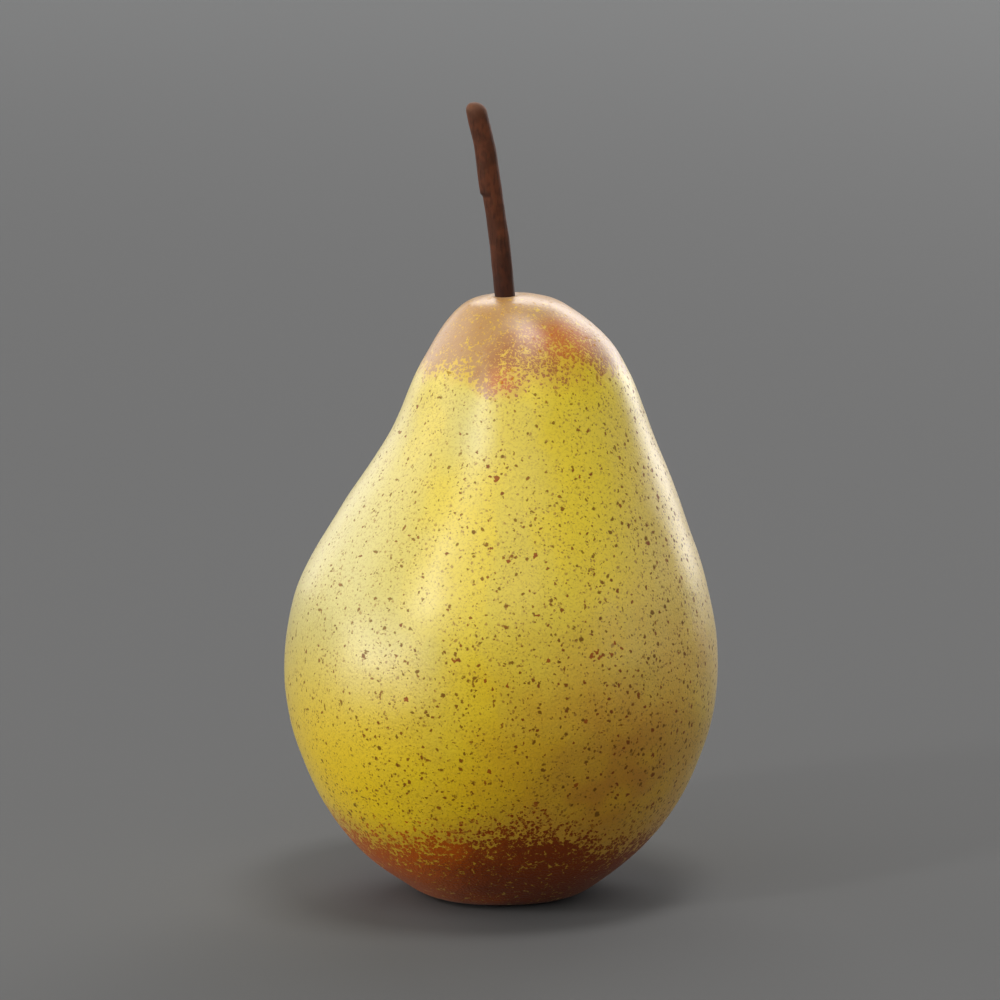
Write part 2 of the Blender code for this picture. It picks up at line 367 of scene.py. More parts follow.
# %% [markdown]
# ## The stem
#
# A pear's stem is a short twig. It could be a curve with a bevel, but bark
# has ridges that run along it, a swelling at the tip and a step where the
# bark of an old bud scar ends. So the rings are made point by point: each has
# its place on the middle line, its radius, and small changes of the radius
# that depend on the height and on the side.

# %% Shape the stem
STEM_SIDES, STEM_RINGS = 64, 210
HEEL_HEIGHT, HEEL_FADE, HEEL_STEP = 122.7 * MM, 9.0 * MM, 0.7 * MM
HEEL_DEPTH = 0.36 * MM
TIP_LENGTH = 1.6 * MM
GRAIN_WAVE, GRAIN_DEPTH = 0.55 * MM, 0.04 * MM
KNOB_WAVE, KNOB_DEPTH = 2.6 * MM, 0.06 * MM
GRAIN_STRETCH = 0.12


def heel(height, side):
    """How far the bark above the old bud scar stands proud on this side."""
    above = height - HEEL_HEIGHT
    if above < 0:
        depth = soft_step(1 + above / HEEL_STEP)
    else:
        depth = 1 - soft_step(above / HEEL_FADE)
    return HEEL_DEPTH * depth * max(0.0, -side) ** 2


def close_tube(shape, rings):
    """Faces from each ring of points to the next, and a cap on both ends."""
    for lower, upper in zip(rings, rings[1:]):
        for k in range(len(lower)):
            after = (k + 1) % len(lower)
            shape.faces.new((lower[k], lower[after], upper[after], upper[k]))
    shape.faces.new(rings[0][::-1])
    shape.faces.new(rings[-1])


def build_stem():
    line = evenly_spaced(stem_line, STEM_RINGS)
    to_tip = length_of(line[:, :3]) * (1 - np.linspace(0, 1, STEM_RINGS))
    shape = bmesh.new()
    rings = []
    for (x, y, z, radius), left in zip(line, to_tip):
        blunt = math.sqrt(max(0.0, 1 - (1 - min(left, TIP_LENGTH) / TIP_LENGTH) ** 2.0))
        ring = []
        for turn in 2 * math.pi * np.arange(STEM_SIDES) / STEM_SIDES:
            side, front = math.cos(turn), math.sin(turn)
            bark = Vector((side * radius, front * radius, z * GRAIN_STRETCH))
            grain = GRAIN_DEPTH * noise.noise(bark / GRAIN_WAVE)
            knob = KNOB_DEPTH * noise.noise(Vector((side * radius, front * radius, z)) / KNOB_WAVE)
            reach = radius * blunt + (grain + knob) * blunt + heel(z, side) * blunt
            ring.append(shape.verts.new((x + side * reach, y + front * reach, z)))
        rings.append(ring)
    close_tube(shape, rings)
    return piece_from(shape, bpy.data.meshes.new("pear_stem"))


stem = build_stem()
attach(stem, "root")
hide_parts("stem")
stem_top = max(v.co.z for v in stem.data.vertices)
print(f"stem: top at {stem_top / MM:.1f} mm, {len(stem.data.polygons)} faces")

# %% [markdown]
# ## The dried calyx
#
# Underneath, in the basin, sits what is left of the flower: a small cup with
# five withered sepals on its rim and a tuft of dry stamens. Nobody sees it
# while the pear stands, but the part can be turned over. Each sepal starts as
# a flat grid whose points are moved by a formula: it narrows to a point,
# arches out of the cup, folds along its middle and crumples as it dries. A
# thickness is added last. The stamens are thin tapering tubes. Both sources of
# chance get a seed: `noise_vector`, which makes the rim uneven, otherwise
# starts from the clock, and the cup would differ a little in each run.

# %% Shape the calyx
CALYX_RADIUS = 2.9 * MM
GAP = 0.3 * MM
PIT_DEPTH = 1.3 * MM
CUP_HEIGHT, CUP_WALL, CUP_FLOOR = 2.1 * MM, 0.8 * MM, 0.8 * MM
CUP_TOP = BASIN_DEPTH + PIT_DEPTH - GAP
CUP_BOTTOM = BASIN_DEPTH + PIT_DEPTH - CUP_HEIGHT
SEPALS = 5
SEPAL_SINK, SEPAL_REACH, SEPAL_DROP = 0.45 * MM, 3.3 * MM, 3.7 * MM
SEPAL_THICKNESS, SEPAL_ARCH, SEPAL_FOLD = 0.34 * MM, 0.9 * MM, 0.55 * MM
SEPAL_HALF_WIDTH, SEPAL_TIP_HALF_WIDTH = 1.5 * MM, 0.12 * MM
CRUMPLE_WAVE, CRUMPLE_DEPTH = 1.3 * MM, 0.30 * MM
STAMENS, STAMEN_RADIUS, STAMEN_LENGTH = 14, 0.13 * MM, 2.6 * MM
STAMEN_RINGS, STAMEN_SIDES, STAMEN_SINK, STAMEN_CLEARANCE = 12, 8, 0.3 * MM, 0.4 * MM
CUP_SIDES, CUP_ROWS, CUP_ROUNDING = 48, 40, 0.25 * MM
RIM_WAVE, RIM_DEPTH = 1.1 * MM, 0.22 * MM
CALYX_SEED = 11
draw = random.Random(CALYX_SEED)
noise.seed_set(CALYX_SEED)


def add_sepal(calyx, turn, length_factor):
    """One dried sepal, added to the calyx."""
    root = Vector((CALYX_RADIUS - CUP_WALL / 2, CUP_BOTTOM + SEPAL_SINK))
    tip = root + Vector((SEPAL_REACH, -SEPAL_DROP)) * length_factor
    blade = bmesh.new()
    bmesh.ops.create_grid(blade, x_segments=26, y_segments=12, size=0.5)
    for point in blade.verts:
        t, across = point.co.x + 0.5, 2 * point.co.y
        middle = root.lerp(tip, t)
        width = SEPAL_HALF_WIDTH * (1 - t**1.5) + SEPAL_TIP_HALF_WIDTH
        spot = Vector((middle.x, across * width, 10 * turn * MM))
        crumple = CRUMPLE_DEPTH * noise.noise(spot / CRUMPLE_WAVE) * min(1.0, 3 * t)
        curl = -SEPAL_FOLD * abs(across) ** 1.5 * (1 - 0.6 * t)
        height = middle.y + SEPAL_ARCH * math.sin(math.pi * t) + curl + crumple
        point.co = (middle.x, across * width, height)
    bmesh.ops.solidify(blade, geom=blade.faces[:], thickness=SEPAL_THICKNESS)
    blade.transform(Matrix.Rotation(turn, 4, "Z"))
    sheet = bpy.data.meshes.new("sepal")
    blade.to_mesh(sheet)
    blade.free()
    calyx.from_mesh(sheet)
    bpy.data.meshes.remove(sheet)


def add_stamen(calyx):
    """One dried stamen with the remains of its anther, added to the calyx."""
    turn = draw.uniform(0, 2 * math.pi)
    reach = (CALYX_RADIUS - CUP_WALL - STAMEN_CLEARANCE) * math.sqrt(draw.random())
    length = STAMEN_LENGTH * draw.uniform(0.6, 1.1)
    lean = math.radians(draw.uniform(2, 28))
    bend = draw.uniform(-0.5, 0.5) * MM
    start = Matrix.Rotation(turn, 4, "Z") @ Matrix.Translation((reach, 0, CUP_TOP - CUP_FLOOR))
    thread = start @ Matrix.Rotation(math.pi - lean, 4, "Y")
    rings = []
    for t in np.linspace(0, 1, STAMEN_RINGS):
        thickness = STAMEN_RADIUS * (1 - 0.35 * t + 0.9 * math.exp(-(((t - 0.93) / 0.07) ** 2)))
        ring = []
        for side in 2 * math.pi * np.arange(STAMEN_SIDES) / STAMEN_SIDES:
            x = thickness * math.cos(side) + bend * t * t
            place = Vector((x, thickness * math.sin(side), length * t - STAMEN_SINK))
            ring.append(calyx.verts.new(thread @ place))
        rings.append(ring)
    close_tube(calyx, rings)


def add_cup(calyx):
    """The short tube that the sepals stand on, with an uneven withered rim."""
    wall = CALYX_RADIUS - CUP_WALL
    corners = [
        (0.0, CUP_TOP),
        (CALYX_RADIUS, CUP_TOP),
        (CALYX_RADIUS, CUP_BOTTOM + CUP_ROUNDING),
        (CALYX_RADIUS - CUP_WALL / 2, CUP_BOTTOM),
        (wall, CUP_BOTTOM + CUP_ROUNDING),
        (wall, CUP_TOP - CUP_FLOOR),
        (0.0, CUP_TOP - CUP_FLOOR),
    ]
    profile = evenly_spaced(np.array(corners), CUP_ROWS)
    rings = []
    for r, z in profile:
        ring = []
        for turn in 2 * math.pi * np.arange(CUP_SIDES) / CUP_SIDES:
            place = Vector((r * math.cos(turn), r * math.sin(turn), z))
            place += RIM_DEPTH * noise.noise_vector(place / RIM_WAVE) * min(1.0, r / wall)
            ring.append(calyx.verts.new(place))
        rings.append(ring)
    for upper, lower in zip(rings, rings[1:]):
        for k in range(CUP_SIDES):
            after = (k + 1) % CUP_SIDES
            calyx.faces.new((upper[k], lower[k], lower[after], upper[after]))


def build_calyx():
    made = bmesh.new()
    add_cup(made)
    for k in range(SEPALS):
        turn = math.radians(360 * k / SEPALS + draw.uniform(-7, 7))
        add_sepal(made, turn, 1 + draw.uniform(-0.1, 0.1))
    for _ in range(STAMENS):
        add_stamen(made)
    return piece_from(made, bpy.data.meshes.new("pear_calyx"))


calyx = build_calyx()
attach(calyx, "root")
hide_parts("calyx")
lowest = min(v.co.z for v in calyx.data.vertices)
print(f"calyx: {len(calyx.data.polygons)} faces, lowest point {lowest / MM:.1f} mm over the table")

# %% [markdown]
# ## A notation for materials
#
# A material in Blender is a graph of nodes. Built one node at a time, even a
# short formula takes a page. The class below wraps a socket, so that Python's
# own operators add the Math nodes: `1 - mask` is a node, and so is `a * b`.
# Everything that isn't arithmetic comes from one method, `add`, which takes
# the kind of node, its settings and the values of its sockets.

# %% The notation
class Wire:
    """A value on its way through a material."""

    def __init__(self, recipe, socket):
        self.recipe = recipe
        self.socket = socket

    def output(self, name):
        """Another output of the node that this value comes from."""
        return Wire(self.recipe, self.socket.node.outputs[name])

    def __add__(self, other):
        return self.recipe.maths("ADD", self, other)

    def __sub__(self, other):
        return self.recipe.maths("SUBTRACT", self, other)

    def __rsub__(self, other):
        return self.recipe.maths("SUBTRACT", other, self)

    def __mul__(self, other):
        return self.recipe.maths("MULTIPLY", self, other)

    def __pow__(self, other):
        return self.recipe.maths("POWER", self, other)

    def __lt__(self, other):
        return self.recipe.maths("LESS_THAN", self, other)

    def __gt__(self, other):
        return self.recipe.maths("GREATER_THAN", self, other)

    __radd__ = __add__
    __rmul__ = __mul__


class Recipe:
    """A material whose graph is written as expressions."""

    def __init__(self, name):
        self.material = bpy.data.materials.new(name)
        self.material.use_nodes = True
        self.tree = self.material.node_tree
        self.shader = self.tree.nodes["Principled BSDF"]
        inputs = self.add("ShaderNodeTexCoord")
        self.place = self.scaled(inputs.output("Object"), 1 / MM)
        self.x, self.y, self.z = self.axes(self.place)

    def plug(self, socket, value):
        if isinstance(value, Wire):
            self.tree.links.new(value.socket, socket)
        elif isinstance(value, tuple) and len(value) == 3 and socket.type == "RGBA":
            socket.default_value = (*value, 1.0)
        else:
            socket.default_value = value

    def add(self, kind, settings=None, sockets=None, output=0):
        """A node of this kind, as the value that comes out of it."""
        node = self.tree.nodes.new(kind)
        for name, value in (settings or {}).items():
            setattr(node, name, value)
        for name, value in (sockets or {}).items():
            self.plug(node.inputs[name], value)
        return Wire(self, node.outputs[output])

    def maths(self, operation, first, second):
        return self.add("ShaderNodeMath", {"operation": operation}, {0: first, 1: second})

    def vector(self, operation, first, second):
        return self.add("ShaderNodeVectorMath", {"operation": operation}, {0: first, 1: second})

    def scaled(self, vector, scale):
        return self.add("ShaderNodeVectorMath", {"operation": "SCALE"}, {0: vector, "Scale": scale})

    def axes(self, vector):
        split = self.add("ShaderNodeSeparateXYZ", {}, {0: vector})
        return split, split.output("Y"), split.output("Z")

    def mix(self, first, second, amount):
        """From the first colour to the second as amount goes from 0 to 1."""
        sockets = {0: amount, 6: first, 7: second}
        return self.add("ShaderNodeMix", {"data_type": "RGBA"}, sockets, output=2)

    def rise(self, value, low, high):
        """0 below low, 1 above high and a soft step between them."""
        sockets = {"Value": value, "From Min": low, "From Max": high}
        return self.add("ShaderNodeMapRange", {"interpolation_type": "SMOOTHSTEP"}, sockets)

    def clouds(self, size, place=None, detail=1.0, seed=0):
        """Soft random values round 0.5, in lumps about size millimetres across."""
        elsewhere = self.vector("ADD", place or self.place, (37.1 * seed, 17.3 * seed, 71.9 * seed))
        sockets = {"Vector": elsewhere, "Scale": 1 / size, "Detail": detail}
        return self.add("ShaderNodeTexNoise", {}, sockets)

    def finish(self, **sockets):
        """Sets the shader's sockets, named with underscores for spaces."""
        for name, value in sockets.items():
            self.plug(self.shader.inputs[name.replace("_", " ")], value)
        print(self.material.name, "has", len(self.tree.nodes), "nodes")
        return self.material


def paint(red, green, blue):
    """A colour as a screen shows it, 0 to 255, in the linear values that light adds up in."""
    shares = [c / 255 for c in (red, green, blue)]
    return tuple(s / 12.92 if s <= 0.04045 else ((s + 0.055) / 1.055) ** 2.4 for s in shares)


def dress(piece, material):
    piece.data.materials.clear()
    piece.data.materials.append(material)


# %% [markdown]
# ## The skin's ground colour
#
# Under its specks a ripe pear isn't one yellow. Lemon patches as wide as a
# thumbnail lie in a paler straw yellow. Soft noise at two sizes gives them,
# stretched upwards, because the skin grew that way. Broad zones come on top:
# a paler left side, which is painted sheen from the lamps on that side, tan on
# the right, a brighter gold low on the left, which is painted fill light, a
# deeper golden towards the lower right, and a very faint olive low down, which
# is painted shade. A zone is a step in x or z, or a distance from a point that
# fades, as for the lemon band, the pale streak and the blush. Painting a
# picture would be quicker, but it would need a file, and it couldn't be
# changed by a number.

# %% Mix the ground
LEMON = paint(238, 211, 8)
STRAW = paint(230, 206, 46)
PALE_STRAW = paint(212, 206, 138)
TAN_STRAW = paint(224, 192, 92)
OLIVE = paint(160, 156, 40)
GOLDEN = paint(214, 156, 2)
# Painted fill light: a bright gold for the lower left.
PAINTED_FILL_GOLD = paint(250, 212, 0)
BLUSH = paint(176, 92, 20)

skin = Recipe("pear_skin")


def near(recipe, centre, reach, squeeze=(1, 1, 1)):
    """1 at a point given in millimetres, fading to 0 at this distance from it."""
    offset = recipe.vector("SUBTRACT", recipe.place, centre)
    offset = recipe.vector("MULTIPLY", offset, squeeze)
    away = recipe.add("ShaderNodeVectorMath", {"operation": "LENGTH"}, {0: offset}, "Value")
    return 1 - recipe.rise(away, 0.0, reach)


upright = skin.vector("MULTIPLY", skin.place, (1, 1, 0.6))
patches = skin.clouds(12, upright, seed=3)
small_patches = skin.clouds(4.5, upright, seed=8)
lemon_share = skin.rise(patches * 0.7 + small_patches * 0.3, 0.42, 0.60)
lemon_band = near(skin, (15, -25, 71), 24, (1.6, 0.6, 0.55))
pale_streak = near(skin, (-5.5, -20, 84.6), 12, (1.8, 0.6, 0.8))
ground = skin.mix(STRAW, LEMON, skin.rise(lemon_share + lemon_band * 0.7, 0.0, 1.0))
ground = skin.mix(ground, PALE_STRAW, pale_streak * 0.5)
# Painted sheen: the upper left side is mixed towards pale straw, as the whitish reflection of the lamps on
# the left.
painted_sheen_left = (1 - skin.rise(skin.x, -30, 0)) * skin.rise(skin.z, 22, 52)
ground = skin.mix(ground, PALE_STRAW, painted_sheen_left * 0.75)
right_side = skin.rise(skin.x, 15, 29) * skin.rise(skin.z, 24, 52)
ground = skin.mix(ground, TAN_STRAW, right_side * 0.6)
# Painted fill light: low on the left the ground is brightened to a saturated gold, in place of light that
# reaches it there.
painted_fill_low_left = near(skin, (-24, -18, 24), 34, (0.8, 0.6, 1.0))
ground = skin.mix(ground, PAINTED_FILL_GOLD, painted_fill_low_left * 0.9)
# The ground turns a deeper golden towards the lower right.
golden_lower_right = near(skin, (20, -30, 24), 44, (0.9, 0.6, 0.9)) + (skin.clouds(8, seed=12) - 0.5) * 0.5
ground = skin.mix(ground, GOLDEN, skin.rise(golden_lower_right, 0.0, 1.1) * 0.95)
# Painted shade: a faint olive in patches low down, where the fruit turns away from the lamps.
shaded = (1 - skin.rise(skin.z, 16, 46)) * skin.rise(skin.clouds(16, seed=5), 0.42, 0.62)
ground = skin.mix(ground, OLIVE, shaded * 0.05)
blush = near(skin, (20, -30, 26), 20, (1, 0.7, 1.0)) * skin.rise(skin.clouds(6, seed=9), 0.25, 0.65)
ground = skin.mix(ground, BLUSH, blush * 0.48)

# %% [markdown]
# ## Specks
#
# The specks are lenticels, the pores that the skin breathes through, healed
# over with cork. Painting thousands by hand isn't needed: a Voronoi pattern
# fills space with cells, each with a centre and a random colour. The distance
# to the centre makes a dot, and the random colour decides whether this cell
# has one and how large it is. The pattern is bent by noise first, so that no
# dot is round. Squeezing the space makes short dashes in place of dots. The
# specks crowd and grow towards the lower right, so `denser` rises that way and
# drives both the share of cells and the largest size.

# %% Scatter the specks
def bent(recipe, amount, size, seed):
    """The place on the skin, pushed about at random by up to this many millimetres."""
    push = recipe.clouds(size, detail=2, seed=seed).output("Color")
    push = recipe.vector("SUBTRACT", push, (0.5, 0.5, 0.5))
    return recipe.vector("ADD", recipe.place, recipe.scaled(push, 2 * amount))


def specks(recipe, place, cell, share, smallest, largest, soft, shift):
    """Dots of random size, in this share of the cells; sizes are radii in millimetres."""
    place = recipe.vector("ADD", place, shift)
    cells = recipe.add("ShaderNodeTexVoronoi", {}, {"Vector": place, "Scale": 1 / cell})
    chance, size, tone = recipe.axes(cells.output("Color"))
    radius = smallest + (largest - smallest) * size * size
    away = cells * cell
    inside = 1 - recipe.rise(away, radius * (1 - soft), radius * (1 + soft))
    return inside * (chance < share), tone


ragged = bent(skin, 0.42, 0.70, seed=1)
crowd = skin.clouds(7, seed=21)
denser = skin.rise(skin.x * 0.7 - skin.z * 0.5 + 40, -18, 42)
crowding = skin.rise(crowd, 0.36, 0.62) * 0.5 + denser * 0.5
dust, _ = specks(skin, ragged, 0.70, 0.28 + 1.15 * crowding, 0.11, 0.26, 0.28, (3, 8, 5))
fine_largest, medium_largest = 0.31 + 0.09 * denser, 0.38 + 0.12 * denser
fine, fine_tone = specks(skin, ragged, 1.10, 0.30 + 1.05 * crowding, 0.13, fine_largest, 0.28, (40, 7, 90))
medium_share = 0.40 + 0.45 * denser
medium, medium_tone = specks(skin, ragged, 2.4, medium_share, 0.19, medium_largest, 0.25, (17, 60, 33))
slanted = skin.vector("MULTIPLY", skin.vector("ADD", ragged, (5, 5, 5)), (1.0, 1.0, 0.33))
turned_place = skin.add("ShaderNodeVectorRotate", {}, {"Vector": ragged, "Angle": 0.9})
crosswise = skin.vector("MULTIPLY", turned_place, (0.33, 1.0, 1.0))
dashes, _ = specks(skin, slanted, 1.7, 0.55, 0.12, 0.28, 0.25, (70, 20, 11))
strokes, _ = specks(skin, crosswise, 1.7, 0.55, 0.12, 0.28, 0.25, (9, 44, 61))

# %% [markdown]
# ## Spots at given places
#
# A few larger rust-coloured spots are what the eye remembers of one
# particular pear, so they are put where this pear has them. Each is a
# distance from a point again, only measured across the front of the fruit,
# from side to side and upwards.

# %% Place the rust spots
RUST_SPOTS = [
    (-0.8, 77.1, 0.46),
    (13.2, 77.1, 0.34),
    (-1.8, 66.0, 0.36),
    (1.3, 64.2, 0.46),
    (5.7, 65.0, 0.42),
    (6.0, 55.4, 0.36),
    (15.1, 48.3, 0.42),
    (16.0, 48.9, 0.46),
    (16.5, 47.9, 0.38),
    (18.5, 48.3, 0.38),
    (19.0, 50.1, 0.30),
    (20.2, 49.0, 0.32),
    (7.9, 48.0, 0.36),
    (-7.9, 48.0, 0.40),
    (-2.7, 44.9, 0.36),
    (1.1, 44.1, 0.32),
    (-15.9, 41.1, 0.42),
    (14.3, 37.4, 0.36),
    (-2.1, 29.2, 0.44),
    (-2.8, 27.2, 0.32),
    (12.5, 26.1, 0.38),
    (5.8, 23.0, 0.36),
]


def rust_spots(recipe, place):
    """The spots on the front, solid inside and soft at the edge."""
    x, y, z = recipe.axes(place)
    spots = 0
    for across, up, radius in RUST_SPOTS:
        away = ((x - across) ** 2 + (z - up) ** 2) ** 0.5
        spots = spots + (1 - recipe.rise(away, 0.70 * radius, 1.20 * radius))
    return recipe.rise(spots * (y < 0), 0, 1)


very_ragged = bent(skin, 0.68, 0.7, seed=14)
rust = rust_spots(skin, very_ragged)
wild_rust, _ = specks(skin, very_ragged, 9.5, 0.55, 0.25, 0.60, 0.25, (31, 2, 77))
rust = skin.rise(rust + wild_rust * (skin.y > 0), 0, 1)

# %% [markdown]
# ## Russet
#
# Russet is cork that replaces the skin, in a cap round the stem and a foot
# round the calyx. Its edge isn't a line: the cork starts as single flecks
# that crowd together until they close. So each cell of a fine pattern holds a
# dot whose radius grows with a cover, and the cover rises towards each end of
# the fruit. Slow noise makes the edge wander. Fine golden and tan flecks are
# left in the closed cork, and the crown has an orange patch at the front.
# Just below the stem the crown's russet is painted a deeper brown as the
# stem's shade, and the foot is painted lit orange on the left, where the
# lamps fall, and a deeper brown to the right as shade.

# %% Grow the russet
CORK_CELL = 0.72


def wandering(size, reach, seed):
    """Slow random shifts of a height, in millimetres up or down."""
    return (skin.clouds(size, seed=seed, detail=1) - 0.5) * 2 * reach


grain = skin.clouds(0.36, ragged, seed=30)
mottled = skin.clouds(1.6, ragged, seed=31)


def cork(cover, shift):
    """Dots that grow with the cover, from single flecks to a closed coat."""
    place = skin.vector("ADD", ragged, shift)
    cells = skin.add("ShaderNodeTexVoronoi", {}, {"Vector": place, "Scale": 1 / CORK_CELL})
    chance = skin.axes(cells.output("Color"))[0]
    radius = cover * 1.5 - 0.55 + (chance - 0.5) * 0.45 + (mottled - 0.5) * 0.9
    return skin.rise(radius - cells, -0.08, 0.08)


crown_height = skin.z + wandering(11, 5.0, 40) + wandering(4, 1.8, 41)
crown_cover = skin.rise(crown_height + near(skin, (-1, -17, 91), 7) * 4, 86.5, 97.5)
crown = cork(crown_cover, (50, 3, 14))

base_height = skin.z - 0.05 * skin.x + wandering(12, 2.2, 42) + wandering(3.5, 1.4, 43)
base_height = base_height - near(skin, (3, -32, 16), 22) * 3.5 + skin.rise(skin.x, 8, 30) * 4.5
base_cover = 1 - skin.rise(base_height, 5.5, 31.0)
base = cork(base_cover, (6, 33, 71))

CROWN_TAN = paint(188, 142, 84)
CROWN_BROWN = paint(170, 104, 18)
CROWN_ORANGE = paint(214, 112, 4)
FLECK_GOLD = paint(220, 174, 40)
# Lit and shaded copies of the base russet: the lit one is painted on the left, the other to the right.
BASE_RUST_SHADED = paint(134, 55, 0)
BASE_RUST_LIT = paint(186, 86, 0)
FLECK_TAN = paint(200, 146, 40)

golden_side = near(skin, (8, -15, 94), 15, (0.85, 0.6, 1.2))
# Painted shade: just below the stem the crown's russet turns to the deep brown.
painted_shade_under_stem = near(skin, (0.6, -6, 103), 5)
crown_brown = skin.rise(golden_side * 1.5 + painted_shade_under_stem * 0.5 + (mottled - 0.5) * 0.6, 0.2, 0.8)
crown_colour = skin.mix(CROWN_TAN, CROWN_BROWN, crown_brown)
orange_patch = near(skin, (11, -13.5, 99), 8, (0.8, 0.7, 1.1)) + near(skin, (0.5, -18, 92), 5)
crown_colour = skin.mix(crown_colour, CROWN_ORANGE, skin.rise(orange_patch, 0, 1) * 0.7)
gold_zone = golden_side * 0.11 + (1 - skin.rise(crown_height, 89, 98)) * 0.04
gold_zone = gold_zone - near(skin, (-5, -17, 95), 10) * 0.06
gold_flecks = skin.rise(grain + gold_zone, 0.61, 0.67)
crown_colour = skin.mix(crown_colour, FLECK_GOLD, gold_flecks * 0.85)

# Painted light and shade on the base russet: lit orange on the left, where the lamps fall, and the shaded
# brown to the right.
painted_shade_right = skin.rise(skin.x + (skin.clouds(6, seed=51) - 0.5) * 20, -16, 4)
base_colour = skin.mix(BASE_RUST_LIT, BASE_RUST_SHADED, painted_shade_right)
pale_flecks = skin.rise(grain + skin.rise(base_height, 7, 18) * 0.22, 0.72, 0.78)
base_colour = skin.mix(base_colour, FLECK_TAN, pale_flecks * 0.8)

# %% [markdown]
# ## Putting the skin together
#
# The layers go on from the ground up: the specks, the rust spots and the
# russet over everything. Cork is rougher than wax, so the same masks drive the
# roughness. The coat is the fruit's own wax: thinner low down and on the
# specks, and absent on the cork at the base. A faint sheen is its bloom. The
# bump is in millimetres: the Bump node's distance is one millimetre, and the
# heights that reach it are the real ones, a tenth or two at most.

# %% Finish the skin
DUST = paint(164, 116, 0)
SPECK_OLIVE = paint(120, 76, 0)
SPECK_BROWN = paint(130, 58, 0)
RUST = paint(150, 70, 0)
PEEL_DEPTH, PORE_DEPTH = 0.11, 0.09

speck_colour = skin.mix(SPECK_OLIVE, SPECK_BROWN, skin.rise(medium_tone, 0.3, 0.7))
fine_colour = skin.mix(SPECK_OLIVE, SPECK_BROWN, skin.rise(fine_tone, 0.3, 0.9))
colour = skin.mix(ground, DUST, skin.rise(grain, 0.50, 0.68) * 0.30)
colour = skin.mix(colour, DUST, dust * (0.64 + 0.30 * denser))
colour = skin.mix(colour, fine_colour, fine * (0.78 + 0.18 * denser))
colour = skin.mix(colour, fine_colour, skin.rise(dashes + strokes, 0, 1) * 0.8)
colour = skin.mix(colour, speck_colour, medium * 0.92)
colour = skin.mix(colour, RUST, rust * 0.92)
colour = skin.mix(colour, FLECK_GOLD, skin.rise(crown_cover, 0.30, 0.80) * 0.70)
colour = skin.mix(colour, FLECK_TAN, skin.rise(base_cover, 0.30, 0.75) * 0.55)
colour = skin.mix(colour, crown_colour, crown)
colour = skin.mix(colour, base_colour, base)

russet = skin.rise(crown + base, 0, 1)
marks = skin.rise(dust * 0.3 + fine + medium + rust + dashes + strokes, 0, 1)
sheen_patches = skin.clouds(9, seed=60)
roughness = 0.38 + 0.10 * sheen_patches + 0.12 * marks + 0.10 * russet

peel = skin.clouds(2.4, seed=61, detail=2) * PEEL_DEPTH
pores = skin.clouds(0.42, seed=62) * PORE_DEPTH
corky_ends = skin.rise(skin.z, 93, 100) + 1 - skin.rise(skin.z, 8, 16)
waxy = (1 - base) * (1 - 0.75 * marks) * (0.30 + 0.70 * skin.rise(skin.z, 6, 48))
height = peel + pores * (1 + 1.2 * corky_ends)
bump = skin.add("ShaderNodeBump", {}, {"Height": height, "Distance": MM, "Strength": 1.0})

skin_material = skin.finish(
    Base_Color=colour,
    Roughness=roughness,
    Normal=bump,
    IOR=1.36,
    Coat_Weight=waxy,
    Coat_Roughness=0.36,
    Coat_IOR=1.7,
    Specular_IOR_Level=0.25,
    Sheen_Weight=0.12,
    Sheen_Roughness=0.40,
    Sheen_Tint=paint(255, 240, 232),
)
dress(fruit, skin_material)

# %% [markdown]
# ## Bark
#
# The stem's bark is a dull reddish brown. Fine streaks run along it, and a
# green tinge is left from when it was alive. It is darkest where it meets the
# fruit, and paler at the broken tip. The streaks are noise in a space that is
# pressed flat along the stem, so that they come out long. A dark line follows
# the edge of the old bud scar, on the left side only.

# %% Finish the bark
BARK = paint(76, 38, 18)
BARK_RED = paint(94, 48, 24)
BARK_DARK = paint(38, 17, 12)
BARK_GREEN = paint(68, 56, 28)
BARK_TIP = paint(122, 84, 60)

bark = Recipe("stem_bark")
along = bark.vector("MULTIPLY", bark.place, (1, 1, 0.22))
streaks = bark.clouds(0.45, along, seed=2, detail=3)
blotches = bark.clouds(2.6, seed=4, detail=2)
flecks = bark.clouds(0.35, seed=6, detail=2)
bark_colour = bark.mix(BARK, BARK_RED, bark.rise(blotches, 0.40, 0.62))
bark_colour = bark.mix(bark_colour, BARK_DARK, bark.rise(streaks, 0.50, 0.68) * 0.45)
bark_colour = bark.mix(bark_colour, BARK_GREEN, bark.rise(flecks, 0.58, 0.72) * 0.40)
at_root = 1 - bark.rise(bark.z, 103, 116)
bark_colour = bark.mix(bark_colour, BARK_DARK, at_root * 0.75)
at_tip = bark.rise(bark.z + (blotches - 0.5) * 3, 135.0, 138.0)
bark_colour = bark.mix(bark_colour, BARK_TIP, at_tip * 0.55)
scar = bark.rise(bark.z, 121.7, 122.4) * (1 - bark.rise(bark.z, 122.6, 123.6)) * (bark.x < -1.8)
bark_colour = bark.mix(bark_colour, BARK_DARK, scar * 0.6)
bark_height = streaks * 0.10 + flecks * 0.03 + blotches * 0.05
bark_bump = bark.add("ShaderNodeBump", {}, {"Height": bark_height, "Distance": MM, "Strength": 0.8})
bark_material = bark.finish(
    Base_Color=bark_colour,
    Roughness=0.60 + 0.16 * streaks,
    Normal=bark_bump,
    Specular_IOR_Level=0.22,
    Sheen_Weight=0.10,
    Sheen_Roughness=0.40,
)
dress(stem, bark_material)

# %% [markdown]
# ## The withered flower
#
# The sepals dried to a dark brown with paler, frayed edges and a grey bloom
# of fine hair. The hair is a sheen, which needs no geometry at this size.

# %% Finish the calyx
HUSK = paint(74, 50, 34)
HUSK_DARK = paint(38, 24, 18)
HUSK_PALE = paint(138, 108, 76)

